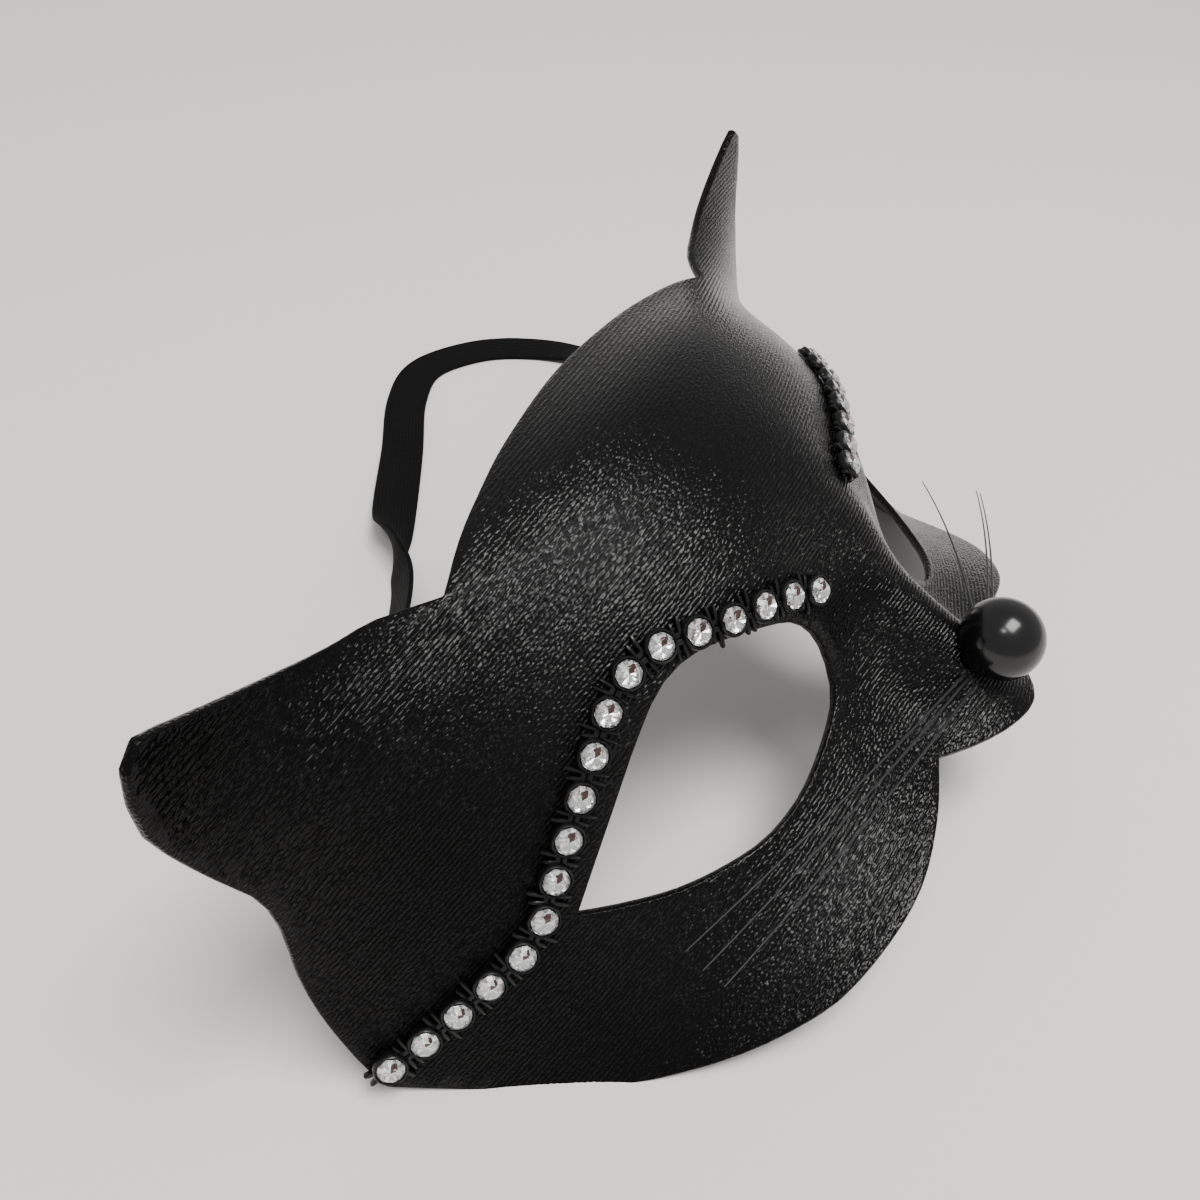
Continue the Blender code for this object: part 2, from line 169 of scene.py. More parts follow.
# Rhinestone rows, glued by hand: the left one starts nearer the midline than the right one
STONES = 18
STONE_PITCH = 6.3
BAND_THICKNESS = 1.0
ROW_STEP = 0.1
ROW_OUTER_END = [
    # side, up
    (43.4, 17.0),
    (48.2, 17.8),
    (53.3, 16.3),
    (62.3, 11.0),
    (70.0, 5.6),
    (73.5, 2.9),
    (77.3, 1.7),
    (81.7, 2.3),
    (90.6, 3.8),
    (100.0, 6.6),
]
RIGHT_ROW = [
    # side, up
    (16.5, 0.6),
    (21.5, 4.1),
    (27.3, 7.5),
    (33.4, 10.8),
    (38.6, 14.1),
] + ROW_OUTER_END
LEFT_ROW = [
    # side, up
    (8.2, 6.8),
    (14.1, 8.2),
    (20.5, 10.0),
    (26.6, 11.9),
    (32.8, 13.0),
    (38.6, 14.5),
] + ROW_OUTER_END

# Nose ball, hollowed at the back to sit on the ridge of the muzzle
NOSE_RADIUS = 7.2
NOSE_UP = -31.9
NOSE_OUT = 5.3
NOSE_GAP = 0.6

# Elastic strap: a flat band from temple to temple, laid on the table behind the mask
STRAP_WIDTH = 10.5
STRAP_THICKNESS = 1.0
STRAP_CURVE_STEPS = 16
STRAP_STATIONS = 220
STRAP_EDGE_STEPS = 8
STRAP_FLAT_SHARES = (0.25, 0.5, 0.75)
WEFT_PITCH = 0.55
CORD_PITCH = 0.8
STRAP_ROUTE = [
    # x, y, height of the middle line, roll of the flat from level in degrees
    (-83.7, 32.6, 15.0, 118.0),
    (-85.0, 38.0, 13.5, 114.0),
    (-84.0, 45.0, 9.5, 100.0),
    (-76.0, 54.0, 5.6, 104.0),
    (-56.0, 64.0, 5.2, 112.0),
    (-27.0, 77.0, 5.0, 118.0),
    (-6.0, 86.5, 4.8, 118.0),
    (3.0, 93.5, 5.3, 95.0),
    (14.0, 101.0, 2.6, 30.0),
    (42.0, 115.5, 0.6, 0.0),
    (62.0, 126.0, 0.6, 0.0),
    (78.0, 129.5, 0.6, 0.0),
    (93.0, 121.5, 0.6, 0.0),
    (101.5, 109.0, 0.6, 0.0),
    (104.5, 95.0, 1.5, -12.0),
    (102.0, 79.0, 4.8, -62.0),
    (96.5, 63.0, 5.6, -86.0),
    (89.5, 51.0, 6.6, -82.0),
    (86.5, 43.0, 10.0, -74.0),
    (85.0, 38.0, 13.4, -66.0),
    (83.7, 32.6, 15.0, -62.0),
]

MM = 0.001

# Camera, in the face frame: place, and the directions of the picture's right, down and depth
CAMERA_PLACE = (-150.9, 53.2, 104.9)
CAMERA_RIGHT = (0.3992, -0.7355, 0.5474)
CAMERA_DOWN = (-0.6145, -0.6577, -0.4356)
CAMERA_AHEAD = (0.6805, -0.1625, -0.7145)
CAMERA_LENS = 33.1
CAMERA_SENSOR = 36.0

# Room, in metres: the table under the mask, and the lights over it
TABLE_HALF = 3.0
LIGHT_TARGET = (0.0, 0.0, 0.03)
KEY_PLACE = (-0.09, -0.27, 1.25)
KEY_SIZE = (0.7, 0.5)
KEY_WATTS = 17.5
KEY_COLOUR = (1.0, 0.99, 0.975)
FILL_PLACE = (-0.55, 0.1, 1.15)
FILL_SIZE = (0.2, 0.15)
FILL_WATTS = 1.5
FILL_COLOUR = (1.0, 1.0, 1.0)
SKY_COLOUR = (0.81, 0.8, 0.79, 1)
SKY_STRENGTH = 0.68

# Ribs moulded across the shell, fading out towards its rims
RIB_PITCH = 0.7
RIB_DEPTH = 0.075
RIB_ROWS = 4
RIB_FADE = 1.6
COLUMN_NEAR = 1.8
COLUMN_FAR = 4.2
COLUMN_CHANGE = 16.0
COLUMN_END = 150.0
SKIN_RIM_STEP = 0.7

# Grid points of the skin keep this far from its rims, along the ribs and across them
RIM_CLEAR_ALONG = 1.2
RIM_CLEAR_ACROSS = 0.35

# Distance from the middle over which the satin plastic turns matte towards the ears
MATTE_START = 52.0
MATTE_END = 76.0

# The shell's rounded rims
RIM_BULGE = 0.3
RIM_TURNS = (0.0, 30.0, 62.0, 90.0, 118.0, 150.0, 180.0)

# Rhinestone cups: the ring's section from its foot outside, over the top and down inside
CUP_SECTION = [
    # radius, height
    (2.62, 0.3),
    (2.72, 0.7),
    (2.7, 1.35),
    (2.6, 1.8),
    (2.44, 1.98),
    (2.27, 1.95),
    (2.17, 1.8),
    (2.16, 1.55),
]
CUP_SIDES = 28
CUP_FLOOR = 1.5

# Bars between the cups and cut stubs beside them, by along and across the row
LINK_REACH = 1.2
LINK_OFFSET = 0.5
LINK_HALF_WIDTH = 0.42
LINK_TOP = 1.3
STUB_HALF_WIDTH = 0.33
STUB_TOP = 1.25
STUB_TAPER = 0.45
STUB_REACHES = (3.6, 2.9, 3.3)
LINK_STUBS = [
    # root along, root across, tip along, shorter than its reach
    (-0.55, 0.4, -0.75, 0.0),
    (0.5, 0.4, 0.62, 0.3),
    (-0.5, -0.4, -0.6, 0.0),
    (0.55, -0.4, 0.8, 0.35),
]
INNER_END_STUBS = [
    # root, tip
    ((-2.3, -0.5), (-4.0, -0.8)),
    ((-2.3, 0.6), (-3.7, 1.3)),
]
OUTER_END_STUBS = [
    # root, tip
    ((2.3, -0.7), (3.9, -1.2)),
    ((2.4, 0.5), (4.1, 0.7)),
    ((-1.2, 2.4), (-1.6, 3.9)),
]
BAR_STAGES = [
    # share of the length, share of the taper, top lowered, foot raised
    (0.0, 0.0, 0.0, 0.0),
    (0.6, 0.0, 0.0, 0.0),
    (0.9, 0.5, 0.1, 0.0),
    (1.0, 1.0, 0.3, 0.15),
]
BAR_FLAT_SHARE = 0.55
BAR_EDGE_DROP = 0.15

# Foils behind the stones
FOIL_RADIUS = 2.0
FOIL_TOP = 0.3
FOIL_NOTCH = 0.2
FOIL_DIP = 0.04
FOIL_FACETS = 8
FOIL_SPIN = 0.4

# The painted dark reflection on each foil, a kite-shaped facet: its heading in the face frame, and its
# corners
DARK_REFLECTION_WAY = (0.73, 0.2, 0.65)
DARK_REFLECTION_LIFT = 0.2
DARK_REFLECTION_KITE = [
    # turn from the heading, share of the foil's radius
    (180.0, 0.06),
    (-36.0, 0.42),
    (0.0, 0.74),
    (36.0, 0.42),
]

# Whisker bristles, straight from under the nose with a slight bow
WHISKERS = [
    # root side, up, out, tip side, up, out
    (-4.3, -32.0, -1.2, -67.5, -16.2, -26.3),
    (-4.4, -32.9, -1.2, -69.0, -19.2, -24.8),
    (-4.3, -34.7, -1.1, -70.1, -22.2, -22.7),
    (5.0, -33.4, -1.6, 71.0, -25.7, -25.7),
    (5.0, -34.8, -1.6, 73.3, -35.8, -19.0),
    (5.2, -36.2, -1.7, 73.3, -36.9, -18.8),
]
WHISKER_RADIUS = 0.26
WHISKER_TIP = 0.12
WHISKER_BOW = 1.6
WHISKER_STEPS = 24
WHISKER_SIDES = 8


def spline_through(points, steps):
    """Points on a Catmull-Rom curve through the given ones, steps to each span."""
    points = np.array(points, float)
    padded = np.vstack([2 * points[0] - points[1], points, 2 * points[-1] - points[-2]])
    curve = []
    for i in range(len(points) - 1):
        a, b, c, d = padded[i : i + 4]
        for t in np.arange(steps) / steps:
            near = 2 * b + (c - a) * t
            bend = (2 * a - 5 * b + 4 * c - d) * t**2
            far = (3 * b - a - 3 * c + d) * t**3
            curve.append((near + bend + far) / 2)
    curve.append(points[-1])
    return np.array(curve)


def even_steps(curve, step):
    """The curve's points again, at even distances close to step, both ends kept."""
    lengths = np.r_[0, np.cumsum(np.linalg.norm(np.diff(curve, axis=0), axis=1))]
    count = max(2, round(lengths[-1] / step)) + 1
    along = np.linspace(0, lengths[-1], count)
    return np.column_stack([np.interp(along, lengths, curve[:, k]) for k in range(curve.shape[1])])


def table_value(column, up):
    """A smooth reading of one FACE_SECTIONS column, straight on beyond the table's ends."""
    heights = np.array([row[0] for row in FACE_SECTIONS])
    values = np.array([row[column] for row in FACE_SECTIONS])
    slopes = np.gradient(values, heights)
    i = int(np.clip(np.searchsorted(heights, up) - 1, 0, len(heights) - 2))
    if up < heights[0]:
        return values[0] + slopes[0] * (up - heights[0])
    if up > heights[-1]:
        return values[-1] + slopes[-1] * (up - heights[-1])
    width = heights[i + 1] - heights[i]
    t = (up - heights[i]) / width
    start = values[i] * (1 + 2 * t) * (1 - t) ** 2 + slopes[i] * width * t * (1 - t) ** 2
    end = values[i + 1] * (3 - 2 * t) * t**2 + slopes[i + 1] * width * t**2 * (t - 1)
    return start + end


def depth(side, up):
    """How far out the front surface stands at this place on the face."""
    side = abs(side)
    face = table_value(1, up) - table_value(2, up) * (side / HALF_WIDTH) ** 2
    spread = MUZZLE_SPREAD_UP if up > MUZZLE_UP else MUZZLE_SPREAD_DOWN
    muzzle = MUZZLE_OUT * math.exp(-(((up - MUZZLE_UP) / spread) ** 2) - (side / MUZZLE_HALF_WIDTH) ** 2)
    turn = math.radians(FOLD_DIRECTION)
    past = math.cos(turn) * (side - FOLD_POINT[0]) + math.sin(turn) * (up - FOLD_POINT[1])
    past = FOLD_SOFTNESS * math.log1p(math.exp(min(past / FOLD_SOFTNESS, 60.0)))
    return face + muzzle + EAR_LIFT * past + EAR_CURL * past**2


def surface_point(side, up):
    return Vector((side, up, depth(side, up)))


def surface_normal(side, up):
    e = 0.2
    across = surface_point(side + e, up) - surface_point(side - e, up)
    along = surface_point(side, up + e) - surface_point(side, up - e)
    return across.cross(along).normalized()


def lay_down(point):
    """From the face frame, in millimetres, to the part's frame on the table, in metres."""
    pitch = math.radians(REST_PITCH)
    x, up, out = point
    y = up * math.cos(pitch) - out * math.sin(pitch) - BACK_SHIFT
    z = up * math.sin(pitch) + out * math.cos(pitch) + REST_HEIGHT
    return Vector((x, y, z)) * MM


def unroll(side):
    """Length along the face's curved cross-section from the midline to this side."""
    bend = 2 * FACE_SECTIONS[3][2] / HALF_WIDTH**2
    slope = bend * abs(side)
    length = (slope * math.sqrt(1 + slope**2) + math.asinh(slope)) / (2 * bend)
    return math.copysign(length, side)


def roll_back(length):
    """The side whose unrolled length this is."""
    low, high = 0.0, abs(length)
    for _ in range(40):
        middle = (low + high) / 2
        if unroll(middle) < abs(length):
            low = middle
        else:
            high = middle
    return math.copysign(low, length)


def half_outline():
    """The right-hand half of the outline as even points, corners kept sharp."""
    stretches = []
    stretch = []
    for side, up, kind in OUTLINE:
        stretch.append((side, up))
        if kind == "corner":
            stretches.append(stretch)
            stretch = [(side, up)]
    stretches.append(stretch)
    points = []
    for number, stretch in enumerate(stretches):
        stretch = np.array(stretch)
        if number == 0:
            mirrored = stretch[1:2] * [-1, 1]
            curve = spline_through(np.vstack([mirrored, stretch]), CURVE_STEPS)[CURVE_STEPS:]
        elif number == len(stretches) - 1:
            mirrored = stretch[-2:-1] * [-1, 1]
            curve = spline_through(np.vstack([stretch, mirrored]), CURVE_STEPS)[:-CURVE_STEPS]
        else:
            curve = spline_through(stretch, CURVE_STEPS)
        even = even_steps(curve, RIM_STEP)
        points.extend(even if number == 0 else even[1:])
    return np.array(points)


def eye_hole(table, mirror):
    """One eye hole as a closed loop that starts at its sharp outer corner."""
    loop = table + table[:1]
    return even_steps(spline_through(loop, CURVE_STEPS), RIM_STEP)[:-1] * [mirror, 1]


def inside(point, loop):
    """Whether the point is inside the closed loop."""
    x, y = point
    ahead = np.roll(loop, -1, axis=0)
    crosses = (loop[:, 1] > y) != (ahead[:, 1] > y)
    rise = np.where(crosses, ahead[:, 1] - loop[:, 1], 1.0)
    at = loop[:, 0] + (y - loop[:, 1]) / rise * (ahead[:, 0] - loop[:, 0])
    return bool(np.count_nonzero(crosses & (x < at)) % 2)


def row_stations(row, mirror):
    """Even small steps along a stone row: side, up and length so far."""
    curve = even_steps(spline_through(row, CURVE_STEPS), ROW_STEP)
    solid = np.array([surface_point(s, u) for s, u in curve])
    length = np.r_[0, np.cumsum(np.linalg.norm(np.diff(solid, axis=0), axis=1))]
    return curve * [mirror, 1], length


def row_frame(stations, at):
    """Centre, direction along the row, direction across it and outward normal at this length."""
    curve, length = stations
    centre = [np.interp(at, length, curve[:, k]) for k in (0, 1)]
    ahead = [np.interp(at + 1.0, length, curve[:, k]) for k in (0, 1)]
    behind = [np.interp(max(at - 1.0, 0.0), length, curve[:, k]) for k in (0, 1)]
    normal = surface_normal(*centre)
    along = (surface_point(*ahead) - surface_point(*behind)).normalized()
    across = normal.cross(along).normalized()
    return centre, across.cross(normal), across, normal


class Graph:
    """Short calls for building one material's node tree."""

    def __init__(self, name):
        self.material = bpy.data.materials.new(name)
        self.material.use_nodes = True
        self.nodes = self.material.node_tree.nodes
        self.links = self.material.node_tree.links
        self.shader = self.nodes["Principled BSDF"]

    def set(self, **values):
        for name, value in values.items():
            self.shader.inputs[name.replace("_", " ")].default_value = value

    def add(self, kind, inputs=None, **settings):
        node = self.nodes.new(kind)
        for name, value in settings.items():
            setattr(node, name, value)
        for name, value in (inputs or {}).items():
            socket = node.inputs[name]
            if isinstance(value, bpy.types.NodeSocket):
                self.links.new(value, socket)
            else:
                socket.default_value = value
        return node

    def place(self):
        return self.add("ShaderNodeTexCoord").outputs["Object"]

    def map(self, vector, **turn_or_scale):
        return self.add("ShaderNodeMapping", {"Vector": vector, **turn_or_scale}).outputs[0]

    def noise(self, vector, scale, detail=2.0, rough=0.5):
        inputs = {"Vector": vector, "Scale": scale, "Detail": detail, "Roughness": rough}
        return self.add("ShaderNodeTexNoise", inputs).outputs["Fac"]

    def ramp(self, value, low, high, start=0.0, end=1.0):
        inputs = {"Value": value, "From Min": low, "From Max": high, "To Min": start, "To Max": end}
        return self.add("ShaderNodeMapRange", inputs).outputs["Result"]

    def math(self, kind, one, two=0.0):
        return self.add("ShaderNodeMath", {0: one, 1: two}, operation=kind).outputs[0]

    def mix(self, factor, one, two):
        node = self.add("ShaderNodeMix", data_type="RGBA")
        for socket, value in zip((node.inputs[0], node.inputs[6], node.inputs[7]), (factor, one, two)):
            if isinstance(value, bpy.types.NodeSocket):
                self.links.new(value, socket)
            else:
                socket.default_value = value
        return node.outputs[2]

    def bump(self, height, strength, distance):
        inputs = {"Height": height, "Strength": strength, "Distance": distance}
        normal = self.add("ShaderNodeBump", inputs).outputs["Normal"]
        self.links.new(normal, self.shader.inputs["Normal"])

    def feed(self, name, value):
        self.links.new(value, self.shader.inputs[name])


def shell_finish():
    """Black satin plastic whose ribs break up into fine glints."""
    g = Graph("shell_satin")
    place = g.place()
    upright = g.map(place, Rotation=(math.radians(-REST_PITCH), 0, 0))
    grain = g.noise(g.map(upright, Scale=(0.6, 1.6, 0.9)), 2200.0, 0.0)
    side = g.math("ABSOLUTE", g.add("ShaderNodeSeparateXYZ", {"Vector": place}).outputs["X"])
    g.feed("Specular IOR Level", g.ramp(side, MATTE_START * MM, MATTE_END * MM, 0.19, 0.1))
    patch = g.noise(place, 40.0, 3.0, 0.6)
    colour = g.mix(patch, (0.0012, 0.0011, 0.0012, 1), (0.0036, 0.0033, 0.0034, 1))
    g.feed("Base Color", colour)
    g.feed("Roughness", g.ramp(g.math("ADD", grain, g.math("MULTIPLY", patch, 0.5)), 0.45, 1.05, 0.08, 0.24))
    g.bump(grain, 1.0, 0.00015)
    return g.material


def trim_finish():
    """Black moulded plastic, a little shiny, with small flow marks."""
    g = Graph("trim_plastic")
    place = g.place()
    colour = g.mix(g.noise(place, 300.0), (0.001, 0.001, 0.0012, 1), (0.004, 0.004, 0.0045, 1))
    g.set(Specular_IOR_Level=0.35)
    g.feed("Base Color", colour)
    g.feed("Roughness", g.ramp(g.noise(place, 500.0), 0.3, 0.7, 0.22, 0.42))
    g.bump(g.noise(place, 900.0, 3.0), 0.25, 0.00008)
    return g.material


def nose_finish():
    """Glossy black resin with faint haze."""
    g = Graph("nose_resin")
    place = g.place()
    colour = g.mix(g.noise(place, 60.0), (0.002, 0.002, 0.0025, 1), (0.005, 0.005, 0.0055, 1))
    g.feed("Base Color", colour)
    g.feed("Roughness", g.ramp(g.noise(place, 120.0, 4.0), 0.35, 0.75, 0.14, 0.26))
    g.bump(g.noise(place, 150.0), 0.04, 0.0002)
    return g.material


def crystal_finish():
    """Clear cut acrylic with slight smears."""
    g = Graph("crystal_clear")
    g.set(Transmission_Weight=1.0, IOR=1.56)
    g.feed("Base Color", g.mix(g.noise(g.place(), 400.0), (0.93, 0.94, 0.95, 1), (1.0, 1.0, 1.0, 1)))
    g.feed("Roughness", g.ramp(g.noise(g.place(), 700.0), 0.4, 0.8, 0.0, 0.03))
    return g.material


def foil_finish():
    """Bright silver foil behind the stones, greyer in random patches."""
    g = Graph("foil_silver")
    g.set(Metallic=0.85)
    # foil colour greyer in random patches
    dim_patches = g.ramp(g.noise(g.place(), 520.0, 2.0), 0.5, 0.75)
    g.feed("Base Color", g.mix(dim_patches, (0.98, 0.98, 0.98, 1), (0.7, 0.69, 0.69, 1)))
    g.feed("Roughness", g.ramp(g.noise(g.place(), 900.0), 0.3, 0.7, 0.08, 0.2))
    return g.material


def foil_painted_reflection_finish():
    """Painted dark reddish reflection, for the facet of each foil that faces something dark."""
    g = Graph("foil_painted_reflection")
    g.set(Metallic=0.3)
    # colour painted dark red-brown in place of the foil's reflection of dark surroundings
    g.feed("Base Color", g.mix(g.noise(g.place(), 300.0), (0.05, 0.014, 0.01, 1), (0.11, 0.035, 0.025, 1)))
    g.feed("Roughness", g.ramp(g.noise(g.place(), 900.0), 0.3, 0.7, 0.25, 0.4))
    return g.material


def elastic_finish():
    """Black woven elastic: fine lengthwise cords crossed by a tight weft."""
    g = Graph("elastic_weave")
    g.set(Sheen_Weight=0.015, Sheen_Roughness=0.4, Specular_IOR_Level=0.1)
    uv = g.add("ShaderNodeUVMap", uv_map="band").outputs["UV"]
    parts = g.add("ShaderNodeSeparateXYZ", {"Vector": uv})
    along = g.math("SINE", g.math("MULTIPLY", parts.outputs["X"], 2 * math.pi / WEFT_PITCH))
    across = g.math("SINE", g.math("MULTIPLY", parts.outputs["Y"], 2 * math.pi / CORD_PITCH))
    weave = g.math("ADD", g.math("MULTIPLY", along, 0.4), g.math("MULTIPLY", across, 0.6))
    fuzz = g.noise(g.place(), 2500.0, 2.0)
    height = g.math("ADD", weave, g.math("MULTIPLY", fuzz, 0.6))
    colour = g.mix(g.ramp(height, -0.8, 1.2), (0.001, 0.001, 0.0013, 1), (0.0045, 0.0045, 0.005, 1))
    g.feed("Base Color", colour)
    g.feed("Roughness", g.ramp(fuzz, 0.3, 0.7, 0.7, 0.9))
    g.bump(height, 0.6, 0.00012)
    return g.material


def bristle_finish():
    """Dark translucent nylon."""
    g = Graph("bristle_nylon")
    g.set(Transmission_Weight=0.3, Specular_IOR_Level=0.25, IOR=1.5)
    colour = g.mix(g.noise(g.place(), 300.0), (0.015, 0.016, 0.018, 1), (0.04, 0.042, 0.045, 1))
    g.feed("Base Color", colour)
    g.feed("Roughness", g.ramp(g.noise(g.place(), 900.0), 0.3, 0.7, 0.3, 0.45))
    return g.material


def floor_finish():
    """Pale matt table top."""
    g = Graph("floor_pale")
    g.set(Roughness=0.75, Specular_IOR_Level=0.2)
    colour = g.mix(g.noise(g.place(), 6.0, 3.0), (0.862, 0.842, 0.826, 1), (0.882, 0.862, 0.846, 1))
    g.feed("Base Color", colour)
    return g.material


def add_piece(name, bm, finish, nodes=(), smooth_angle=None):
    """The finished mesh as a piece of the mask, smooth but for edges sharper than the angle."""
    mesh = bpy.data.meshes.new(name)
    bm.to_mesh(mesh)
    bm.free()
    mesh.materials.append(finish)
    mesh.shade_smooth()
    if smooth_angle is not None:
        mesh.set_sharp_from_angle(angle=math.radians(smooth_angle))
    piece = bpy.data.objects.new(name, mesh)
    bpy.context.scene.collection.objects.link(piece)
    if nodes:
        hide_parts(*nodes)
    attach(piece, "root")
    return piece


def column_sides():
    """Unrolled places of the skin's columns, close together over the bridge and muzzle."""
    near = np.arange(0.0, COLUMN_CHANGE, COLUMN_NEAR)
    far = np.arange(COLUMN_CHANGE, COLUMN_END, COLUMN_FAR)
    half = np.r_[near, far]
    return np.r_[-half[:0:-1], half]


def skin_loops():
    """The mask's outline and both eye holes, unrolled, as closed loops of small even steps."""
    half = half_outline()
    outline = np.vstack([half, half[1:-1][::-1] * [-1, 1]])
    loops = []
    for loop in (outline, eye_hole(RIGHT_EYE, -1), eye_hole(LEFT_EYE, 1)):
        unrolled = np.array([(unroll(side), up) for side, up in loop])
        loops.append(even_steps(np.vstack([unrolled, unrolled[:1]]), SKIN_RIM_STEP)[:-1])
    return loops


def on_shell(place, loops):
    """Whether the unrolled place is inside the outline and in neither eye hole."""
    outline, *holes = loops
    return inside(place, outline) and not any(inside(place, hole) for hole in holes)


def skin_grid(loops):
    """Unrolled places and faces of the skin: its rims, and rows along its ribs within them."""
    columns = column_sides()
    numbers = np.arange(len(columns))
    row_step = RIB_PITCH / RIB_ROWS
    rim_points = np.vstack(loops)
    points = [tuple(p) for p in rim_points]
    edges = []
    start = 0
    for loop in loops:
        count = len(loop)
        edges += [(start + i, start + (i + 1) % count) for i in range(count)]
        start += count
    low = loops[0].min(axis=0)
    high = loops[0].max(axis=0)
    for row in range(math.ceil(low[1] / row_step), math.floor(high[1] / row_step) + 1):
        for x in columns[(columns > low[0]) & (columns < high[0])]:
            place = (x, row * row_step)
            apart = np.abs(rim_points - place)
            clear = apart[:, 0] / RIM_CLEAR_ALONG + apart[:, 1] / RIM_CLEAR_ACROSS
            if clear.min() >= 1.0 and on_shell(place, loops):
                points.append(place)

    def scaled(p):
        return Vector((np.interp(p[0], columns, numbers), p[1] / row_step / 2))

    _, _, faces, origins, *_ = delaunay_2d_cdt([scaled(p) for p in points], edges, [], 0, 1e-6)
    places = np.array([points[o[0]] if o else (0.0, 0.0) for o in origins])
    return places, [face for face in faces if on_shell(places[list(face)].mean(axis=0), loops)]


def rim_edges(sheet):
    """The edges that only one face of the sheet has, in that face's direction."""
    uses = {}
    for face in sheet:
        for i in range(len(face)):
            pair = (face[i], face[(i + 1) % len(face)])
            uses.setdefault(tuple(sorted(pair)), []).append(pair)
    return [pairs[0] for pairs in uses.values() if len(pairs) == 1]


def round_rims(bm, sheet, bases, normals, front, back):
    """Rounded strips from the front skin to the back one, all along the rims."""
    rim = rim_edges(sheet)
    outward = {}
    for a, b in rim:
        run = (bases[b] - bases[a]).normalized()
        for i in (a, b):
            outward[i] = outward.get(i, Vector()) + run.cross(normals[i])
    rings = {}
    for i, direction in outward.items():
        direction.normalize()
        ring = [front[i]]
        for turn in RIM_TURNS[1:-1]:
            angle = math.radians(turn)
            down = WALL * (1 - math.cos(angle)) / 2
            place = bases[i] - normals[i] * down + direction * RIM_BULGE * math.sin(angle)
            ring.append(bm.verts.new(lay_down(place)))
        ring.append(back[i])
        rings[i] = ring
    for a, b in rim:
        for k in range(len(RIM_TURNS) - 1):
            bm.faces.new((rings[a][k], rings[a][k + 1], rings[b][k + 1], rings[b][k]))


def cut_at_table(bm):
    """Takes off what would reach below the table and closes the cut."""
    everything = bm.verts[:] + bm.edges[:] + bm.faces[:]
    bmesh.ops.bisect_plane(bm, geom=everything, plane_co=(0, 0, 0), plane_no=(0, 0, -1), clear_outer=True)
    bmesh.ops.holes_fill(bm, edges=[e for e in bm.edges if e.is_boundary])
    bmesh.ops.triangulate(bm, faces=[f for f in bm.faces if len(f.verts) > 4])


def shell_skin(finish):
    """The ribbed skin with its smooth back and rounded rims, as one closed mesh."""
    loops = skin_loops()
    places, sheet = skin_grid(loops)
    rim_points = np.vstack(loops)
    bm = bmesh.new()
    front, back, bases, normals = [], [], [], []
    for x, up in places:
        side = roll_back(x)
        base = surface_point(side, up)
        normal = surface_normal(side, up)
        gap = np.linalg.norm(rim_points - (x, up), axis=1).min()
        fade = min(1.0, gap / RIB_FADE)
        fade = fade * fade * (3 - 2 * fade)
        rib = RIB_DEPTH * fade * (math.cos(2 * math.pi * up / RIB_PITCH) - 1)
        bases.append(base)
        normals.append(normal)
        front.append(bm.verts.new(lay_down(base + normal * rib)))
        back.append(bm.verts.new(lay_down(base - normal * WALL)))
    for face in sheet:
        bm.faces.new([front[i] for i in face])
        bm.faces.new([back[i] for i in reversed(face)])
    round_rims(bm, sheet, bases, normals, front, back)
    loose = [v for v in bm.verts if not v.link_faces]
    bmesh.ops.delete(bm, geom=loose, context="VERTS")
    bmesh.ops.recalc_face_normals(bm, faces=bm.faces)
    cut_at_table(bm)
    return add_piece("shell_skin", bm, finish, ["mask_shell"], smooth_angle=50)


def nose_skin(finish):
    """The ball, hollowed at the back over the ridge of the muzzle."""
    bm = bmesh.new()
    bmesh.ops.create_uvsphere(bm, u_segments=72, v_segments=48, radius=NOSE_RADIUS)
    for vert in bm.verts:
        side, up, out = vert.co + Vector((0, NOSE_UP, NOSE_OUT))
        seat = depth(side, up) + NOSE_GAP
        vert.co = lay_down((side, up, max(out, seat)))
    bmesh.ops.recalc_face_normals(bm, faces=bm.faces)
    return add_piece("nose_skin", bm, finish, ["nose_ball"], smooth_angle=40)


def frame_matrix(stations, at):
    """Matrix from a place on the row, in millimetres, to the part: along, across and outward."""
    centre, along, across, normal = row_frame(stations, at)
    axes = [laid_direction(axis) for axis in (along, across, normal)]
    return Matrix.Translation(lay_down(surface_point(*centre))) @ Matrix(axes).transposed().to_4x4()


def on_circle(place, radius, turn, height):
    """A point on a circle about the axis of this place."""
    return place @ Vector((radius * math.cos(turn), radius * math.sin(turn), height))


def add_ring(bm, place):
    """One cup: a turned ring closed by a floor inside and a flat foot below."""
    inner = CUP_SECTION[-1][0]
    turns = [2 * math.pi * k / CUP_SIDES for k in range(CUP_SIDES)]
    rings = []
    for turn in turns:
        rings.append([bm.verts.new(on_circle(place, r, turn, h)) for r, h in CUP_SECTION])
    for one, two in zip(rings, rings[1:] + rings[:1]):
        for k in range(len(CUP_SECTION) - 1):
            bm.faces.new((one[k], two[k], two[k + 1], one[k + 1]))
    floor = [bm.verts.new(on_circle(place, inner, turn, CUP_FLOOR)) for turn in turns]
    for k in range(CUP_SIDES):
        after = (k + 1) % CUP_SIDES
        bm.faces.new((rings[k][-1], rings[after][-1], floor[after], floor[k]))
    bm.faces.new(floor)
    bm.faces.new([ring[0] for ring in rings][::-1])


def add_bar(bm, place, start, end, half, high, taper):
    """A small bar from start to end, points of along and across, narrowed at its end."""
    start = Vector((*start, 0))
    end = Vector((*end, 0))
    run = (end - start).normalized()
    wide = Vector((-run.y, run.x, 0))
    rings = []
    for share, narrowed, lowered, raised in BAR_STAGES:
        middle = start.lerp(end, share)
        reach = half * (1 + (taper - 1) * narrowed)
        bottom = GAP + raised
        top = high - lowered
        edge = top - BAR_EDGE_DROP
        flat = BAR_FLAT_SHARE
        profile = ((-1, bottom), (1, bottom), (1, edge), (flat, top), (-flat, top), (-1, edge))
        points = [middle + wide * reach * x + Vector((0, 0, height)) for x, height in profile]
        rings.append([bm.verts.new(place @ point) for point in points])
    add_tube(bm, rings)


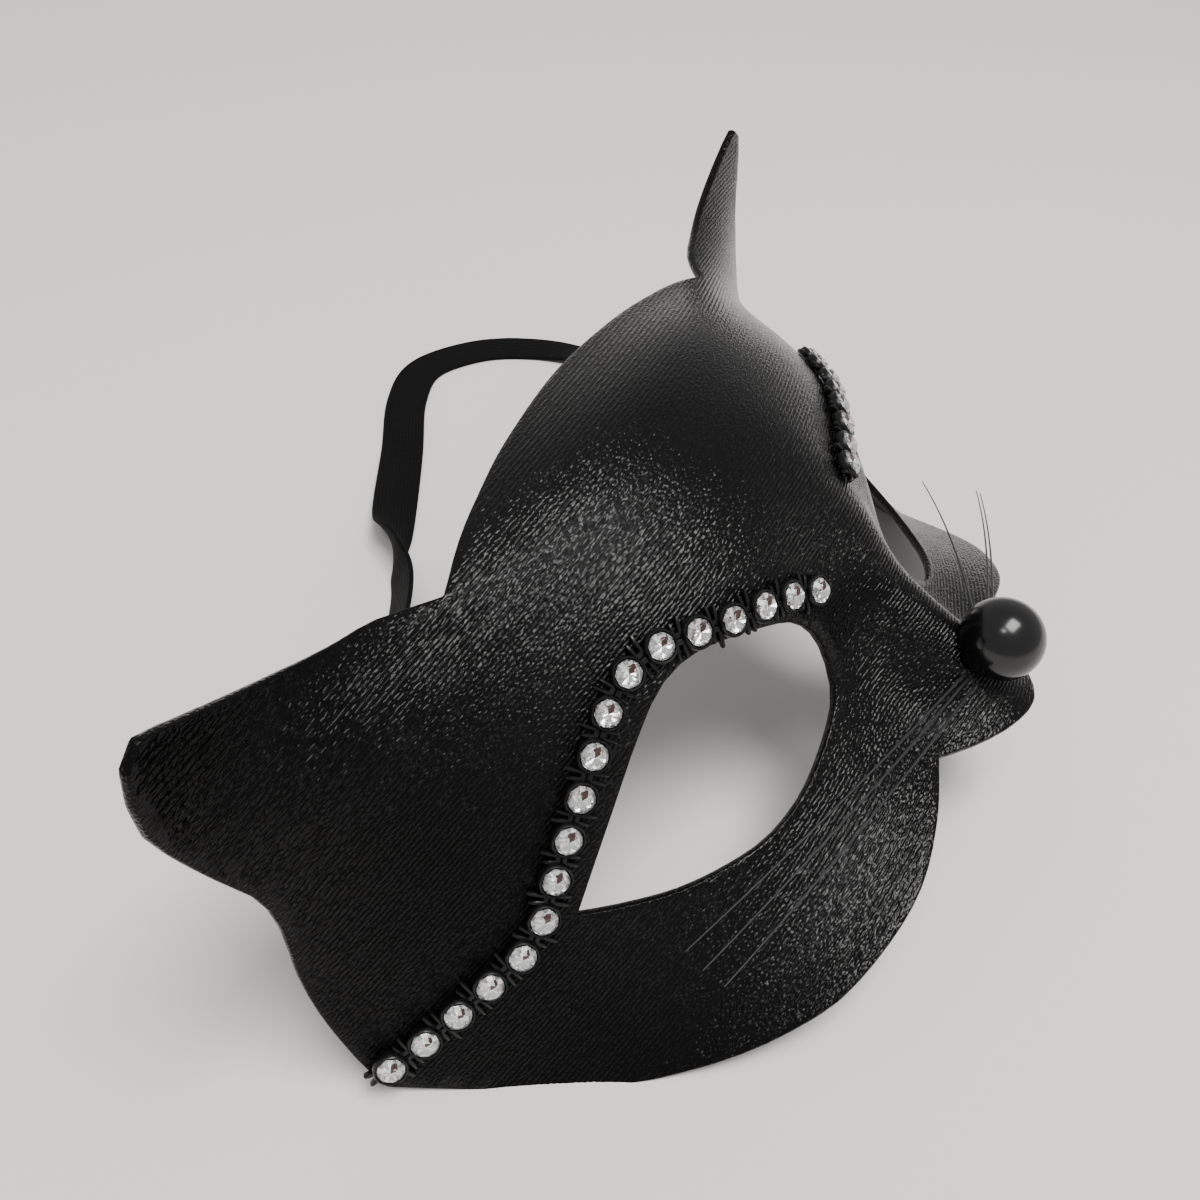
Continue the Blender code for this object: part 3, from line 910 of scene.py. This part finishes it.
def add_tube(bm, rings):
    """Faces between the rings of points, and one at each end."""
    for one, two in zip(rings, rings[1:]):
        for k in range(len(one)):
            after = (k + 1) % len(one)
            bm.faces.new((one[k], one[after], two[after], two[k]))
    bm.faces.new(rings[0][::-1])
    bm.faces.new(rings[-1])


def link_stubs(number):
    """Roots and tips of the four stubs beside this link, their reaches taking turns."""
    reach = STUB_REACHES[number % len(STUB_REACHES)]
    other = STUB_REACHES[(number + 1) % len(STUB_REACHES)]
    stubs = []
    for (along, across, tip, shorter), far in zip(LINK_STUBS, (reach, other, other, reach)):
        stubs.append(((along, across), (tip, math.copysign(far - shorter, across))))
    return stubs


def banding(side_name, row, mirror, finish):
    """Cups, links and cut stubs of one rhinestone trim."""
    stations = row_stations(row, mirror)
    bm = bmesh.new()
    for number in range(STONES):
        add_ring(bm, frame_matrix(stations, number * STONE_PITCH))
    for number in range(-1, STONES):
        if number == -1:
            place = frame_matrix(stations, 0.0)
            stubs = INNER_END_STUBS
        elif number == STONES - 1:
            place = frame_matrix(stations, number * STONE_PITCH)
            stubs = OUTER_END_STUBS
        else:
            place = frame_matrix(stations, (number + 0.5) * STONE_PITCH)
            stubs = link_stubs(number)
            for side in (1, -1):
                start = (-side * LINK_REACH, side * LINK_OFFSET)
                end = (side * LINK_REACH, side * LINK_OFFSET)
                add_bar(bm, place, start, end, LINK_HALF_WIDTH, LINK_TOP, 1.0)
        for start, end in stubs:
            add_bar(bm, place, start, end, STUB_HALF_WIDTH, STUB_TOP, STUB_TAPER)
    bmesh.ops.recalc_face_normals(bm, faces=bm.faces)
    replaced = ["trim_" + side_name]
    return add_piece("banding_" + side_name, bm, finish, replaced, smooth_angle=35)


def foils(side_name, row, mirror, finish):
    """Shallow faceted mirror cones under the crowns of one row of stones."""
    stations = row_stations(row, mirror)
    foot = 2 * GAP + BAND_THICKNESS
    corners = 2 * FOIL_FACETS
    bm = bmesh.new()
    for number in range(STONES):
        place = frame_matrix(stations, number * STONE_PITCH)
        tip = bm.verts.new(on_circle(place, 0.0, 0.0, foot + FOIL_DIP))
        circle = []
        for k in range(corners):
            turn = 2 * math.pi * k / corners + FOIL_SPIN * number
            rise = FOIL_TOP if k % 2 else FOIL_TOP - FOIL_NOTCH
            circle.append(bm.verts.new(on_circle(place, FOIL_RADIUS, turn, foot + rise)))
        for k in range(corners):
            bm.faces.new((tip, circle[k], circle[(k + 1) % corners]))
    piece = add_piece("foil_" + side_name, bm, finish)
    piece.data.shade_flat()
    return piece


def foil_painted_reflections(side_name, row, mirror, finish):
    """A painted dark reflection on each foil: a kite-shaped facet from its middle towards the shaded side of
    the room.
    """
    stations = row_stations(row, mirror)
    way = laid_direction(DARK_REFLECTION_WAY)
    bm = bmesh.new()
    # one painted dark reflection on each stone's foil
    for number in range(STONES):
        place = frame_matrix(stations, number * STONE_PITCH)
        flat = place.to_3x3().inverted() @ way
        heading = math.atan2(flat.y, flat.x)
        corners = []
        for turn, share in DARK_REFLECTION_KITE:
            height = 2 * GAP + BAND_THICKNESS + FOIL_TOP * (share + DARK_REFLECTION_LIFT)
            corner = on_circle(place, FOIL_RADIUS * share, heading + math.radians(turn), height)
            corners.append(bm.verts.new(corner))
        bm.faces.new(corners)
    return add_piece("foil_painted_reflection_" + side_name, bm, finish)


def strap_piece(finish):
    """The elastic as a flat band with rounded edges on the route of the part's source."""
    route = spline_through(STRAP_ROUTE, STRAP_CURVE_STEPS)
    length = np.linalg.norm(np.diff(route[:, :3], axis=0), axis=1).sum()
    route = even_steps(route, length / STRAP_STATIONS)
    bm = bmesh.new()
    uv = bm.loops.layers.uv.new("band")
    half = STRAP_WIDTH / 2
    thick = STRAP_THICKNESS / 2
    section = []
    for k in range(STRAP_EDGE_STEPS + 1):
        turn = math.pi * k / STRAP_EDGE_STEPS
        section.append((half - thick + thick * math.sin(turn), thick * math.cos(turn)))
    section += [(half - thick - (2 * half - 2 * thick) * share, -thick) for share in STRAP_FLAT_SHARES]
    section += [(-x, -y) for x, y in section]
    rings = []
    centres = []
    for number, station in enumerate(route):
        place = Vector(station[:3])
        place.y -= BACK_SHIFT
        ahead = route[min(number + 1, len(route) - 1)][:3]
        behind = route[max(number - 1, 0)][:3]
        along = Vector(ahead - behind).normalized()
        level = Vector((0, 0, 1)).cross(along).normalized()
        roll = math.radians(station[3])
        turned = Matrix.Rotation(roll, 3, along)
        lowest = half * abs(math.sin(roll)) + thick * abs(math.cos(roll))
        place.z = max(place.z, lowest)
        wide = (turned @ level).normalized()
        up = along.cross(wide).normalized()
        rings.append([bm.verts.new((place + wide * x + up * y) * MM) for x, y in section])
        centres.append(place * MM)
    run = 0.0
    for number, (one, two) in enumerate(zip(rings, rings[1:])):
        step = (centres[number + 1] - centres[number]).length / MM
        for k in range(len(section)):
            after = (k + 1) % len(section)
            face = bm.faces.new((one[k], one[after], two[after], two[k]))
            for loop, x, y in zip(face.loops, (run, run, run + step, run + step), (k, after, after, k)):
                loop[uv].uv = (x, section[y][0] + half)
        run += step
    bm.faces.new(rings[0][::-1])
    bm.faces.new(rings[-1])
    bmesh.ops.recalc_face_normals(bm, faces=bm.faces)
    piece = add_piece("strap_band", bm, finish, ["strap"], smooth_angle=60)
    return piece


def whisker(number, row, finish):
    """One bristle, tapered and slightly bowed."""
    root = Vector(row[:3])
    tip = Vector(row[3:])
    run = (tip - root).normalized()
    bow = run.cross(Vector((0, 1, 0))).normalized()
    if bow.z < 0:
        bow.negate()
    side = run.cross(bow).normalized()
    turns = [2 * math.pi * k / WHISKER_SIDES for k in range(WHISKER_SIDES)]
    bm = bmesh.new()
    rings = []
    for step in range(WHISKER_STEPS + 1):
        t = step / WHISKER_STEPS
        middle = root.lerp(tip, t) + bow * WHISKER_BOW * 4 * t * (1 - t)
        radius = WHISKER_RADIUS + (WHISKER_TIP - WHISKER_RADIUS) * t
        circle = [middle + (bow * math.cos(a) + side * math.sin(a)) * radius for a in turns]
        rings.append([bm.verts.new(lay_down(p)) for p in circle])
    add_tube(bm, rings)
    bmesh.ops.recalc_face_normals(bm, faces=bm.faces)
    return add_piece("whisker_%d" % number, bm, finish, smooth_angle=60)


def floor(finish):
    """The table top, a part of the room and not of the mask."""
    bm = bmesh.new()
    bmesh.ops.create_grid(bm, x_segments=2, y_segments=2, size=TABLE_HALF)
    mesh = bpy.data.meshes.new("floor")
    bm.to_mesh(mesh)
    bm.free()
    mesh.materials.append(finish)
    obj = bpy.data.objects.new("floor", mesh)
    bpy.context.scene.collection.objects.link(obj)


def area_light(name, place, size, power, colour):
    """A rectangular lamp that shines at the mask."""
    lamp = bpy.data.lights.new(name, "AREA")
    lamp.shape = "RECTANGLE"
    lamp.size, lamp.size_y = size
    lamp.energy = power
    lamp.color = colour
    obj = bpy.data.objects.new(name, lamp)
    obj.location = place
    obj.rotation_euler = (Vector(LIGHT_TARGET) - Vector(place)).to_track_quat("-Z", "Y").to_euler()
    bpy.context.scene.collection.objects.link(obj)


def lights():
    """Soft light from all round, a large key lamp above and a small fill from the side."""
    world = bpy.data.worlds.new("studio")
    world.use_nodes = True
    shade = world.node_tree.nodes["Background"]
    shade.inputs["Color"].default_value = SKY_COLOUR
    shade.inputs["Strength"].default_value = SKY_STRENGTH
    bpy.context.scene.world = world
    area_light("key", KEY_PLACE, KEY_SIZE, KEY_WATTS, KEY_COLOUR)
    area_light("fill", FILL_PLACE, FILL_SIZE, FILL_WATTS, FILL_COLOUR)


def laid_direction(direction):
    """A direction of the face frame, as it points once the mask lies on the table."""
    return lay_down(direction) - lay_down((0, 0, 0))


def camera():
    """The photo's point of view, set from the face frame."""
    right = laid_direction(CAMERA_RIGHT).normalized()
    down = laid_direction(CAMERA_DOWN).normalized()
    ahead = laid_direction(CAMERA_AHEAD).normalized()
    data = bpy.data.cameras.new("camera")
    data.lens = CAMERA_LENS
    data.sensor_width = CAMERA_SENSOR
    data.clip_start = 0.01
    obj = bpy.data.objects.new("camera", data)
    turn = Matrix((right, -down, -ahead)).transposed().to_4x4()
    obj.matrix_world = Matrix.Translation(lay_down(CAMERA_PLACE)) @ turn
    bpy.context.scene.collection.objects.link(obj)
    bpy.context.scene.camera = obj


def main():
    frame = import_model()
    camera()
    strap_piece(elastic_finish())
    shell_skin(shell_finish())
    nose_skin(nose_finish())
    trim = trim_finish()
    foil = foil_finish()
    # painted dark reflections for the foils' facets that face the dark side of the room
    foil_painted_reflection = foil_painted_reflection_finish()
    for side_name, row, mirror in (("right", RIGHT_ROW, -1), ("left", LEFT_ROW, 1)):
        banding(side_name, row, mirror, trim)
        foils(side_name, row, mirror, foil)
        foil_painted_reflections(side_name, row, mirror, foil_painted_reflection)
    crystal = crystal_finish()
    for name, obj in frame["nodes"].items():
        if name.startswith("stone_"):
            obj.data.materials.clear()
            obj.data.materials.append(crystal)
    bristle = bristle_finish()
    for number, row in enumerate(WHISKERS, 1):
        whisker(number, row, bristle)
    floor(floor_finish())
    lights()


main()
